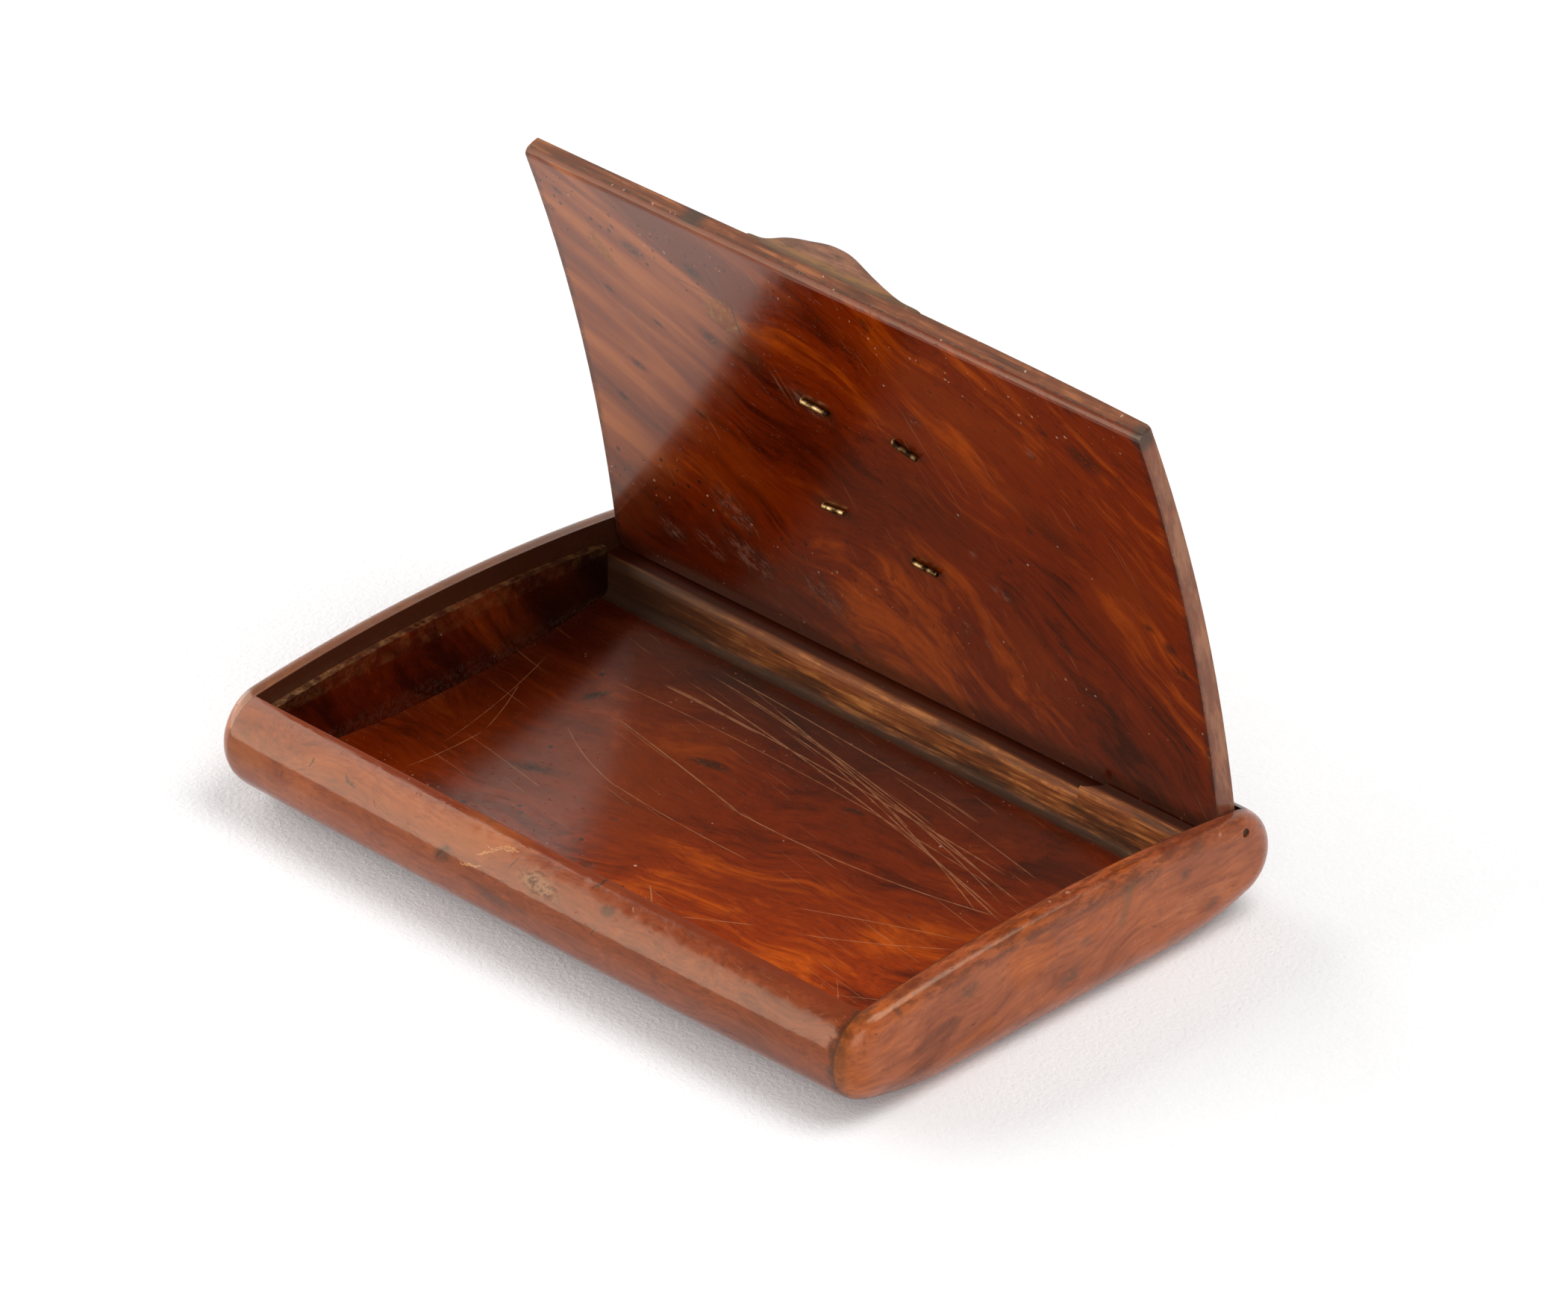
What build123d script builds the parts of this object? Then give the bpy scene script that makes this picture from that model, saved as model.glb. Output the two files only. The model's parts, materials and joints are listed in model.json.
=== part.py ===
from build123d import *
from math import asin, cos, hypot, radians, sin, sqrt
import os

# A flat pocket snuff box carved from burr wood, drawn as it stands with its lid open.
# X runs along the length, -Y is the front with the thumb lift, +Z is up.
# The origin is on the resting face, under the middle of the box.

# Outside of the box, in millimetres
LENGTH = 95.0
WIDTH = 64.8
HEIGHT = 14.0
WAIST_HEIGHT = 7.3
ARCH_RADIUS = 228.0
BELLY_RADIUS = 39.0
FOOT_INSET = 15.7
FOOT_PLANED = 0.02
FRONT_BOW = 0.6

# Rounding of the rim at both ends of the box
TOP_ROUNDING = 1.6
NOSE_ROUNDING = 3.3
FOOT_ROUNDING = 3.9

# End pieces glued to the trough
END_THICKNESS = 2.6
TONGUE_THICKNESS = 1.0
GLUE_LINE = 0.05

# Hollow of the trough
FRONT_LAND = 4.8
FRONT_LEDGE = 1.2
FLOOR_THICKNESS = 2.2
FLOOR_RISE = 2.1
BACK_WALL = 8.7
HOLLOW_CORNER = 0.8

# Lid
LID_FRONT_THICKNESS = 2.0
LID_MIDDLE_THICKNESS = 2.25
LID_BACK_THICKNESS = 2.6
LID_CROWN_LEFT = 0.25
LID_CROWN_RIGHT = 0.5
LID_CROWN_PLACE = 15.0
LID_SAWN_SPARE = 1.0
LID_BEVEL = 0.6
LID_INNER_EASE = 0.7
LID_FRONT_CORNER = 0.5
LID_BACK_CORNER = 2.4
LID_SIDE_CLEARANCE = 0.25
LID_FRONT_CLEARANCE = 0.6
LID_SEAT_CLEARANCE = 0.15

# Thumb lift on the front edge of the lid
LIFT_START = -13.4
LIFT_HEIGHT = 2.25
LIFT_REACH = 2.0
LIFT_ROOT = 8.0
LIFT_BURIED = 0.15
# Share of the full size of the lift at each place along it from its left end
LIFT_PROFILE = [
    (0.0, 0.02),
    (1.7, 0.09),
    (3.4, 0.27),
    (5.3, 0.56),
    (7.3, 0.74),
    (9.7, 0.92),
    (12.0, 1.0),
    (14.2, 0.9),
    (16.3, 0.65),
    (18.5, 0.4),
    (20.8, 0.18),
    (22.6, 0.08),
    (25.0, 0.02),
]

# Concealed hinge: the round-nosed back edge of the lid turns in a cove of the back wall
HINGE_INSET = 5.4
HINGE_DROP = 3.0
HEEL_RADIUS = 2.1
COVE_CLEARANCE = 0.2
LIP_SLOPE = 0.2
LIP_ROUNDING = 1.2
OPEN_ANGLE = 75.0

# Full-height stop at the right end of the back lip, where the lid leans when it is open
STOP_LENGTH = 16.3
STOP_DROP = 1.45
STOP_CLEARANCE = 0.15
SLOT_END_RADIUS = 2.2

# Hinge pins
PIN_DIAMETER = 1.0
PIN_LENGTH = 6.4
PIN_SUNK = 0.2
PIN_RUNNING_CLEARANCE = 0.05
PIN_HOLE_SPARE = 0.4

# Brass wires clinched through the lid
WIRE_DIAMETER = 0.6
WIRE_HOLE_CLEARANCE = 0.025
WIRE_HEAD_DIAMETER = 1.5
WIRE_HEAD_HEIGHT = 0.35
WIRE_BEND_RADIUS = 0.3
WIRE_LIFT = 0.05
# Each wire: place from the middle of the lid, length of the tail and its turn in degrees
WIRES = {
    "clinch_pin_front_left": (-9.4, -7.65, 3.9, 2.0),
    "clinch_pin_front_right": (4.1, -7.95, 3.4, 14.0),
    "clinch_pin_back_left": (-9.8, 7.15, 3.3, -8.0),
    "clinch_pin_back_right": (3.1, 8.95, 3.6, 2.0),
}

# Derived sizes and places
half_length = LENGTH / 2
half_width = WIDTH / 2
core_half = half_length - END_THICKNESS
foot_half = half_width - FOOT_INSET
front_edge = FRONT_LAND - half_width
front_wall = front_edge + FRONT_LEDGE
back_wall = half_width - BACK_WALL
hinge_y = half_width - HINGE_INSET
hinge_z = HEIGHT - HINGE_DROP
cove_radius = HEEL_RADIUS + COVE_CLEARANCE
stop_top = hinge_z - STOP_DROP
lid_half = core_half - LID_SIDE_CLEARANCE
lid_front = front_edge + LID_FRONT_CLEARANCE
lid_back = hinge_y + HEEL_RADIUS
lid_middle = (lid_front + lid_back) / 2
pin_radius = PIN_DIAMETER / 2
wire_hole = WIRE_DIAMETER / 2 + WIRE_HOLE_CLEARANCE
above = HEIGHT + 3.0


def arch_height(y):
    """Height of the outer top surface over the depth of the box."""
    return HEIGHT - ARCH_RADIUS + sqrt(ARCH_RADIUS**2 - y**2)


def bow(centre, start, end):
    """Shorter arc from start to end about a centre."""
    radius = hypot(start[0] - centre[0], start[1] - centre[1])
    my = (start[0] + end[0]) / 2 - centre[0]
    mz = (start[1] + end[1]) / 2 - centre[1]
    reach = radius / hypot(my, mz)
    middle = (centre[0] + my * reach, centre[1] + mz * reach)
    return ThreePointArc(start, middle, end)


def on_circle(centre, radius, toward):
    """Point of a circle on the line from its centre toward another point."""
    dy, dz = toward[0] - centre[0], toward[1] - centre[1]
    reach = radius / hypot(dy, dz)
    return (centre[0] + dy * reach, centre[1] + dz * reach)


def mirrored(point):
    return (-point[0], point[1])


def inset(x, radius):
    """How far a rim rounding of this radius has drawn the outline in at place x."""
    reach = (abs(x) - half_length + radius) / radius
    if reach <= 0:
        return 0.0
    return radius * (1 - sqrt(max(1 - reach**2, 0)))


def flank(reach, arch, foot_z):
    """Centre, start and end of the three arcs of one side, from the foot up to the shoulder."""
    arch_centre = (0.0, HEIGHT - ARCH_RADIUS)
    belly_centre = (foot_half, foot_z + BELLY_RADIUS)
    drop = WAIST_HEIGHT - arch_centre[1]
    span = reach - foot_half
    rise = belly_centre[1] - WAIST_HEIGHT
    upper = (arch**2 - reach**2 - drop**2) / (2 * (arch - reach))
    lower = (BELLY_RADIUS**2 - span**2 - rise**2) / (2 * (BELLY_RADIUS - span))
    upper_centre = (reach - upper, WAIST_HEIGHT)
    lower_centre = (reach - lower, WAIST_HEIGHT)
    foot = (foot_half, foot_z)
    chine = on_circle(belly_centre, BELLY_RADIUS, lower_centre)
    nose = (reach, WAIST_HEIGHT)
    shoulder = on_circle(arch_centre, arch, upper_centre)
    return [(belly_centre, foot, chine), (lower_centre, chine, nose), (upper_centre, nose, shoulder)]


def oval(x):
    """Cross-section of the closed box at place x: flat foot, round noses and a shallow arch."""
    arch = ARCH_RADIUS - inset(x, TOP_ROUNDING)
    foot_z = inset(x, FOOT_ROUNDING) - FOOT_PLANED
    reach = half_width - inset(x, NOSE_ROUNDING)
    back = flank(reach, arch, foot_z)
    front = flank(reach - FRONT_BOW * (x / half_length) ** 2, arch, foot_z)
    crest = (0.0, HEIGHT - ARCH_RADIUS + arch)
    right = [bow(centre, start, end) for centre, start, end in back]
    left = [bow(mirrored(centre), mirrored(end), mirrored(start)) for centre, start, end in reversed(front)]
    top = ThreePointArc(back[-1][2], crest, mirrored(front[-1][2]))
    foot = Line((-foot_half, foot_z), (foot_half, foot_z))
    return make_face(right + [top] + left + [foot])


def blank(places):
    """Body of the closed box between the first and the last of these places, planed flat to stand on."""
    body = loft([Plane.YZ.offset(x) * oval(x) for x in places])
    return body - Pos(0, 0, -HEIGHT / 2) * Box(2 * LENGTH, 2 * WIDTH, HEIGHT)


def rim_places(start, stop, count):
    """Places close together towards the end of the box, where the rim turns fastest."""
    first = (start - half_length + FOOT_ROUNDING) / FOOT_ROUNDING
    last = (stop - half_length + FOOT_ROUNDING) / FOOT_ROUNDING
    a, b = asin(max(first, 0)), asin(min(last, 1))
    return [half_length - FOOT_ROUNDING * (1 - sin(a + (b - a) * i / (count - 1))) for i in range(count)]


def lid_underside(y):
    """Height of the closed lid's inner face over its depth."""
    return UNDERSIDE_TOP - UNDERSIDE_RADIUS + sqrt(UNDERSIDE_RADIUS**2 - (y - UNDERSIDE_Y) ** 2)


def circle_through(a, b, c):
    """Centre and radius of the circle through three points."""
    d = 2 * (a[0] * (b[1] - c[1]) + b[0] * (c[1] - a[1]) + c[0] * (a[1] - b[1]))
    sa, sb, sc = a[0] ** 2 + a[1] ** 2, b[0] ** 2 + b[1] ** 2, c[0] ** 2 + c[1] ** 2
    y = (sa * (b[1] - c[1]) + sb * (c[1] - a[1]) + sc * (a[1] - b[1])) / d
    z = (sa * (c[0] - b[0]) + sb * (a[0] - c[0]) + sc * (b[0] - a[0])) / d
    return y, z, hypot(a[0] - y, a[1] - z)


# The inner face of the lid is one arc through its three thicknesses.
UNDERSIDE_Y, underside_centre_z, UNDERSIDE_RADIUS = circle_through(
    (lid_front, arch_height(lid_front) - LID_FRONT_THICKNESS),
    (0.0, HEIGHT - LID_MIDDLE_THICKNESS),
    (lid_back, arch_height(lid_back) - LID_BACK_THICKNESS),
)
UNDERSIDE_TOP = underside_centre_z + UNDERSIDE_RADIUS


def seat(y):
    """Height of the ledges that the closed lid lies on."""
    return lid_underside(y) - LID_SEAT_CLEARANCE


def along_x(face, start, length):
    """Extrudes a section drawn as depth and height along the length of the box."""
    return extrude(Plane.YZ.offset(start) * face, amount=length)


def opened(shape):
    """Turns a piece of the closed lid to the open place."""
    return shape.rotate(Axis((0, hinge_y, hinge_z), (1, 0, 0)), -OPEN_ANGLE)


def open_place(y, z):
    """Depth and height of a point of the closed lid once the lid is open."""
    dy, dz = y - hinge_y, z - hinge_z
    c, s = cos(radians(OPEN_ANGLE)), sin(radians(OPEN_ANGLE))
    return hinge_y + dy * c + dz * s, hinge_z - dy * s + dz * c


floor_side = FLOOR_THICKNESS + FLOOR_RISE
lip_back = (hinge_y, hinge_z - cove_radius)
lip_front = (back_wall, lip_back[1] - LIP_SLOPE)
floor_middle = ((front_wall + back_wall) / 2, FLOOR_THICKNESS)


def hollow():
    """Section of the snuff hollow with the front ledge, the back lip and the hinge cove."""
    leave = radians(60.0)
    cove_end = (hinge_y + cove_radius * cos(leave), hinge_z + cove_radius * sin(leave))
    cove_middle = (hinge_y + cove_radius * cos(radians(15)), hinge_z - cove_radius * sin(radians(15)))
    outline = [
        Polyline(
            (cove_end[0], above),
            (front_edge, above),
            (front_edge, seat(front_edge)),
            (front_wall, seat(front_wall)),
            (front_wall, floor_side),
        ),
        ThreePointArc((front_wall, floor_side), floor_middle, (back_wall, floor_side)),
        Polyline((back_wall, floor_side), lip_front, lip_back),
        ThreePointArc(lip_back, cove_middle, cove_end),
        Line(cove_end, (cove_end[0], above)),
    ]
    face = make_face(outline)
    corners = face.vertices()
    low = [corners.sort_by_distance(p)[0] for p in ((front_wall, floor_side), (back_wall, floor_side))]
    face = fillet(low, HOLLOW_CORNER)
    lip = face.vertices().sort_by_distance(lip_front)[0]
    return fillet(lip, LIP_ROUNDING)


def stop_block():
    """Full-height length of the back lip, hollowed at its inner end by a round cutter."""
    near = open_place(hinge_y, lid_underside(hinge_y))
    far = open_place(lid_back, lid_underside(lid_back))
    slope = (far[0] - near[0]) / (far[1] - near[1])

    def leaning(z):
        return near[0] + (z - near[1]) * slope - STOP_CLEARANCE * sqrt(1 + slope**2)

    foot = lip_front[1] - LIP_ROUNDING
    outline = Polyline(
        (back_wall, foot),
        (back_wall, stop_top),
        (leaning(stop_top), stop_top),
        (leaning(lip_back[1]), lip_back[1]),
        (hinge_y, lip_back[1]),
        (hinge_y, foot),
        (back_wall, foot),
    )
    face = make_face(outline)
    crest = face.vertices().sort_by_distance((back_wall, stop_top))[0]
    face = fillet(crest, LIP_ROUNDING)
    start = core_half - STOP_LENGTH - SLOT_END_RADIUS
    block = along_x(face, start, STOP_LENGTH + SLOT_END_RADIUS)
    cutter_y = back_wall + LIP_ROUNDING / 3 + SLOT_END_RADIUS
    cutter = Pos(start, cutter_y, lip_back[1]) * Cylinder(
        SLOT_END_RADIUS, 2 * SLOT_END_RADIUS, align=(Align.CENTER, Align.CENTER, Align.MIN)
    )
    return block - cutter


def trough():
    """The box itself, carved from one billet and open at both ends for the end pieces."""
    straight = half_length - FOOT_ROUNDING
    turned = blank(rim_places(straight, core_half, 3))
    billet = blank([-straight, 0.0, straight]) + turned + mirror(turned, Plane.YZ)
    return billet - along_x(hollow(), -core_half - 1, 2 * core_half + 2) + stop_block()


def tongue_face():
    """Section of the raised inner field of an end piece, whose top edge is the side ledge."""
    front = front_wall + GLUE_LINE
    back = back_wall - GLUE_LINE
    low = floor_side + GLUE_LINE
    top_middle = (floor_middle[0], seat(floor_middle[0]))
    outline = [
        Line((front, seat(front)), (front, low)),
        ThreePointArc((front, low), (floor_middle[0], floor_middle[1] + GLUE_LINE), (back, low)),
        Line((back, low), (back, seat(back))),
        ThreePointArc((back, seat(back)), top_middle, (front, seat(front))),
    ]
    face = make_face(outline)
    corners = face.vertices()
    low_corners = [corners.sort_by_distance(p)[0] for p in ((front, low), (back, low))]
    return fillet(low_corners, HOLLOW_CORNER)


def end_piece(side):
    """End slab with a rounded-over rim; side is -1 for the left end and 1 for the right."""
    slab = blank(rim_places(core_half, half_length, 8))
    tongue = along_x(tongue_face(), core_half - TONGUE_THICKNESS, TONGUE_THICKNESS + 0.2)
    bore = along_x(Pos(hinge_y, hinge_z) * Circle(pin_radius), core_half - 1, END_THICKNESS + 2)
    piece = slab + tongue - bore
    return piece if side > 0 else mirror(piece, Plane.YZ)


def crown_arc(crown):
    """Front, middle and back points of the lid's outer face, lifted most at the front edge."""
    rear = lid_back + 1.0
    front_top = (lid_front, arch_height(lid_front) + crown)
    return front_top, (0.0, HEIGHT + crown * 0.55), (rear, arch_height(rear))


def lid_section(crown):
    """Section of the closed lid with a bevelled front edge."""
    front_top, middle_top, rear_top = crown_arc(crown)
    front_low = (lid_front + LID_BEVEL, lid_underside(lid_front + LID_BEVEL))
    eased = (front_low[0] + LID_INNER_EASE, lid_underside(front_low[0] + LID_INNER_EASE))
    share = LID_INNER_EASE / (front_top[1] - front_low[1])
    raised = (front_low[0] - LID_BEVEL * share, front_low[1] + LID_INNER_EASE)
    rear_low = (rear_top[0], lid_underside(rear_top[0]))
    return make_face(
        [
            ThreePointArc(front_top, middle_top, rear_top),
            Line(rear_top, rear_low),
            ThreePointArc(rear_low, (0.0, lid_underside(0.0)), eased),
            Bezier(eased, front_low, raised),
            Line(raised, front_top),
        ]
    )


def crown_at(x):
    """Crown of the lid at place x: none at its sides, less at the left than at the right."""
    total = 0.0
    knots = [(-LID_CROWN_PLACE, LID_CROWN_LEFT), (LID_CROWN_PLACE, LID_CROWN_RIGHT)]
    for place, crown in knots:
        side = (lid_half**2 - x**2) / (lid_half**2 - place**2)
        total += crown * side * (x + place) / (2 * place)
    return total


def lid_panel():
    """Arched panel with a slight crown, a bevelled front edge and a round-nosed back edge."""
    rough_half = lid_half + LID_SAWN_SPARE
    places = [-rough_half, -LID_CROWN_PLACE, LID_CROWN_PLACE, rough_half]
    panel = loft([Plane.YZ.offset(x) * lid_section(crown_at(x)) for x in places])
    waste = make_face(
        Polyline(
            (hinge_y, above),
            (lid_back + 3, above),
            (lid_back + 3, 0.0),
            (hinge_y, 0.0),
            (hinge_y, above),
        )
    )
    waste = waste - Pos(hinge_y, hinge_z) * Circle(HEEL_RADIUS)
    panel = panel - along_x(waste, -rough_half - 1, 2 * rough_half + 2)
    depth = lid_back - lid_front
    plan = Pos(0, (lid_front + lid_back) / 2) * Rectangle(2 * lid_half, depth)
    back_corners = plan.vertices().sort_by(Axis.Y)[-2:]
    plan = fillet(back_corners, LID_BACK_CORNER)
    front_corners = plan.vertices().sort_by(Axis.Y)[:2]
    plan = fillet(front_corners, LID_FRONT_CORNER)
    return panel & extrude(plan, amount=above)


def crown_height(x, y):
    """Rise of the lid's crowned outer face over the arch of the box."""
    centre_y, centre_z, radius = circle_through(*crown_arc(crown_at(x)))
    return centre_z + sqrt(radius**2 - (y - centre_y) ** 2) - arch_height(y)


def lift_section(x, share):
    """Section of the thumb lift: a scooped beak over the front land, at a share of its full size."""
    root_y = lid_front + LIFT_ROOT * sqrt(share)
    edge = arch_height(lid_front) + crown_height(x, lid_front)
    root = (root_y, arch_height(root_y) + crown_height(x, root_y) - LIFT_BURIED)
    crest = (lid_front - LIFT_REACH * share * 0.5, edge + LIFT_HEIGHT * share)
    tip = (lid_front - LIFT_REACH * share, edge + LIFT_HEIGHT * share * 0.62)
    brow = (lid_front - LIFT_REACH * share * 0.92, edge + LIFT_HEIGHT * share * 0.9)
    toe = (lid_front + 0.35, arch_height(lid_front) - LIFT_BURIED * 2)
    scoop = (root[0] - (root[0] - crest[0]) * 0.45, root[1] - (root[1] - edge) * 0.45)
    swell = (crest[0] + (root[0] - crest[0]) * 0.3, crest[1] + LIFT_HEIGHT * share * 0.02)
    return make_face([Bezier(root, scoop, swell, crest), Bezier(crest, brow, tip), Line(tip, toe), Line(toe, root)])


def thumb_lift():
    """Bell-shaped lift, lofted along the front edge of the lid."""
    sections = []
    for place, share in LIFT_PROFILE:
        x = LIFT_START + place
        sections.append(Plane.YZ.offset(x) * lift_section(x, share))
    return loft(sections)


def lid():
    body = lid_panel()
    hole = PIN_LENGTH - END_THICKNESS + PIN_SUNK + PIN_HOLE_SPARE
    bore = Circle(pin_radius + PIN_RUNNING_CLEARANCE)
    for side in (-1, 1):
        inner = side * (core_half - hole)
        outer = side * (lid_half + 1)
        length = abs(outer - inner)
        body = body - along_x(Pos(hinge_y, hinge_z) * bore, min(inner, outer), length)
    for x, y, tail, turn in WIRES.values():
        drill = Pos(x, lid_middle + y, HEIGHT) * Rot(0, 0, 45) * Cylinder(wire_hole, 2 * HEIGHT)
        body = body - drill
    return body + thumb_lift()


def hinge_pin(side):
    """Round pin driven through the end piece into the back edge of the lid."""
    outer = half_length - PIN_SUNK
    start = outer - PIN_LENGTH if side > 0 else -outer
    return along_x(Pos(hinge_y, hinge_z) * Circle(pin_radius), start, PIN_LENGTH)


def clinch_pin(x, from_middle, tail, turn):
    """Brass wire with a small head outside, its tail bent over flat on the inner face."""
    y = lid_middle + from_middle
    radius = WIRE_DIAMETER / 2
    top = arch_height(y) + crown_height(x, y) + WIRE_LIFT
    low = lid_underside(y) - radius - WIRE_LIFT
    tip = (x + tail * cos(radians(turn)), y + tail * sin(radians(turn)))
    end_low = lid_underside(tip[1]) - radius - WIRE_LIFT
    path = FilletPolyline((x, y, top), (x, y, low), (tip[0], tip[1], end_low), radius=WIRE_BEND_RADIUS)
    wire = sweep(Plane((x, y, top), z_dir=(0, 0, -1)) * Circle(radius), path=path)
    head = Pos(x, y, top) * Cylinder(
        WIRE_HEAD_DIAMETER / 2, WIRE_HEAD_HEIGHT, align=(Align.CENTER, Align.CENTER, Align.MIN)
    )
    head = fillet(head.edges().sort_by(Axis.Z)[-1], WIRE_HEAD_HEIGHT * 0.6)
    return wire + head


pieces = {
    "trough": trough(),
    "end_left": end_piece(-1),
    "end_right": end_piece(1),
    "lid": opened(lid()),
    "hinge_pin_left": hinge_pin(-1),
    "hinge_pin_right": hinge_pin(1),
}
for name, wire in WIRES.items():
    pieces[name] = opened(clinch_pin(*wire))

os.makedirs("parts", exist_ok=True)
for name, piece in pieces.items():
    export_step(piece, "parts/" + name + ".step")
    print(name, len(piece.solids()), round(piece.volume, 2))
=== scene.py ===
import json
import math

import bpy
from mathutils import Matrix, Vector

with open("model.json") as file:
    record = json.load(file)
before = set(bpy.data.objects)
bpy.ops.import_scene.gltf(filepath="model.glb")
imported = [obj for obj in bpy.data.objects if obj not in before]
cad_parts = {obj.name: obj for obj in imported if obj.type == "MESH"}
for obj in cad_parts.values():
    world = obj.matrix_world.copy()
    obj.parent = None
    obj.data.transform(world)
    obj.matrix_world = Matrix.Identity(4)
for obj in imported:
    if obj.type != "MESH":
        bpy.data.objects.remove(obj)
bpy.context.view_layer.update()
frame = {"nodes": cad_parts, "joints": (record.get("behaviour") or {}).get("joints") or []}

# Places on the box are in millimetres: x to the right, y to the back and z up from the foot.
# The frame holds the lid open, and its marks are placed on it as if it were closed.
MM = 1000.0
lid_hinge = frame["joints"][0]
OPEN = math.radians(lid_hinge["range_deg"][1])
HINGE = tuple(MM * place for place in lid_hinge["pos_m"])
HINGE_Y = HINGE[1]

# Edges that the marks keep to: ends of the trough and of its hollow, top edge of the front nose,
# front wall of the hollow, face of the back lip, and front and sides of the closed lid
CORE_HALF = 44.9
FIELD_HALF = 43.9
NOSE_BACK = -27.6
HOLLOW_FRONT = -26.4
LIP_FRONT = 23.7
LID_FRONT = -27.0
LID_HALF = 44.65

# Arc of the closed lid's inner face: middle, top and radius
UNDER_Y = -2.344
UNDER_TOP = 11.762
UNDER_RADIUS = 223.10

# Tones of each wood and metal from dark to light. Every colour is linear red, green and blue
LID_TONES = ((0.05, 0.0035, 0.0002), (0.165, 0.0145, 0.0003), (0.38, 0.056, 0.0015))
FLOOR_TONES = ((0.058, 0.004, 0.0003), (0.17, 0.0155, 0.0004), (0.32, 0.045, 0.0012))
NOSE_TONES = ((0.15, 0.023, 0.005), (0.235, 0.041, 0.009), (0.32, 0.068, 0.015))
END_TONES = ((0.22, 0.042, 0.012), (0.4, 0.095, 0.032), (0.56, 0.18, 0.07))
FIELD_TONES = ((0.03, 0.002, 0.0003), (0.085, 0.007, 0.0005), (0.26, 0.035, 0.002))
DRY_TONES = ((0.045, 0.012, 0.004), (0.16, 0.052, 0.016), (0.34, 0.15, 0.055))
# Pale wood of the lid's left front, lightened also as a painted reflection
PALE_AND_SHEEN_TONES = ((0.15, 0.03, 0.012), (0.28, 0.062, 0.018), (0.46, 0.125, 0.03))
LIFT_TONES = ((0.07, 0.024, 0.013), (0.17, 0.06, 0.034), (0.28, 0.11, 0.06))
BRASS_TONES = ((0.03, 0.013, 0.006), (0.24, 0.14, 0.055), (0.55, 0.38, 0.17))
IRON_TONES = ((0.02, 0.01, 0.007), (0.09, 0.035, 0.018))
WARM_EDGE = (1.0, 0.8, 0.56, 1.0)

# Colours of marks that every burr has
PORE = (0.03, 0.006, 0.002)
EYE = (0.03, 0.008, 0.003)
SPECK = (0.6, 0.45, 0.36)
GRIME = (0.02, 0.008, 0.004)
DUST = (0.17, 0.1, 0.06)

# Floor of the hollow. A spot is x, y, two half widths, turn in degrees and softness
# Painted light: a pool of light at the front right, a reflection haze on the left, and shade at the back
# and left
FLOOR_PAINTED_LIGHT = (24.0, -20.0, 34.0, 17.0, 12.0, 0.9)
FLOOR_PAINTED_SHEEN = (-24.0, -3.0, 14.0, 13.0, 0.0, 0.8)
FLOOR_PAINTED_SHADE = [(-12.0, 25.0, 36.0, 11.0, 0.0, 0.7), (-44.0, 16.0, 9.0, 22.0, 0.0, 0.8)]
FLOOR_KNOTS = [
    (-12.3, 7.9, 2.2, 0.7, 12.0, 0.5),
    (-31.3, 9.3, 1.7, 0.6, 60.0, 0.5),
    (-25.6, -5.6, 2.4, 0.9, 20.0, 0.9),
    (-21.0, 22.0, 3.5, 1.4, 0.0, 0.9),
    (5.6, 11.3, 1.3, 0.4, 10.0, 0.5),
]
PINHOLES = [
    (-20.5, -12.5),
    (-10.9, -12.8),
    (-24.9, -16.5),
    (-28.8, -17.1),
    (-19.3, -13.5),
    (-27.4, -1.2),
    (-33.6, 12.6),
    (-0.6, -17.0),
]
PINHOLE_RADIUS = 0.27

# A scratch is its start, end, width and bow
FLOOR_SCRATCHES = [
    ((-28.3, 15.7), (27.7, 12.9), 0.15, 0.6),
    ((-27.4, 15.4), (-12.0, 15.2), 0.2, 0.1),
    ((-25.4, 19.8), (29.7, 10.2), 0.16, 1.5),
    ((-24.4, 20.9), (17.2, 18.2), 0.13, 0.3),
    ((-26.9, 17.6), (32.3, 7.0), 0.16, 1.2),
    ((-22.0, 19.2), (31.0, 8.4), 0.12, 1.9),
    ((-12.0, 17.6), (33.0, 9.8), 0.13, 0.6),
    ((-4.0, 16.6), (32.6, 6.2), 0.14, 0.2),
    ((2.0, 15.8), (29.0, 6.0), 0.12, 0.5),
    ((-15.0, 19.7), (13.0, 12.6), 0.15, 0.4),
    ((4.0, 18.6), (30.0, 14.4), 0.1, 0.2),
    ((-34.0, 12.4), (27.0, 10.6), 0.09, 1.4),
    ((-26.9, 7.8), (-1.9, 2.8), 0.16, 0.2),
    ((-6.9, 3.3), (32.0, 7.3), 0.14, -1.6),
    ((-29.4, 3.2), (-16.0, -2.2), 0.1, -0.7),
    ((-18.0, -1.8), (4.5, -2.9), 0.1, -0.4),
    ((-39.2, 5.7), (-34.9, -3.8), 0.08, 0.2),
    ((-41.0, 12.0), (-36.0, -9.0), 0.07, 0.3),
    ((-34.9, -3.8), (-34.6, -16.0), 0.08, 0.2),
    ((14.0, -6.6), (31.4, 1.3), 0.11, 0.3),
    ((17.9, -10.5), (32.3, -0.3), 0.11, -0.3),
    ((7.9, -17.0), (14.5, -12.0), 0.14, 0.1),
    ((0.8, -14.3), (4.1, -17.3), 0.14, 0.1),
    ((30.0, -17.0), (36.5, -12.0), 0.08, 0.2),
    ((28.0, -14.0), (33.0, -19.0), 0.08, 0.1),
]

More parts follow.
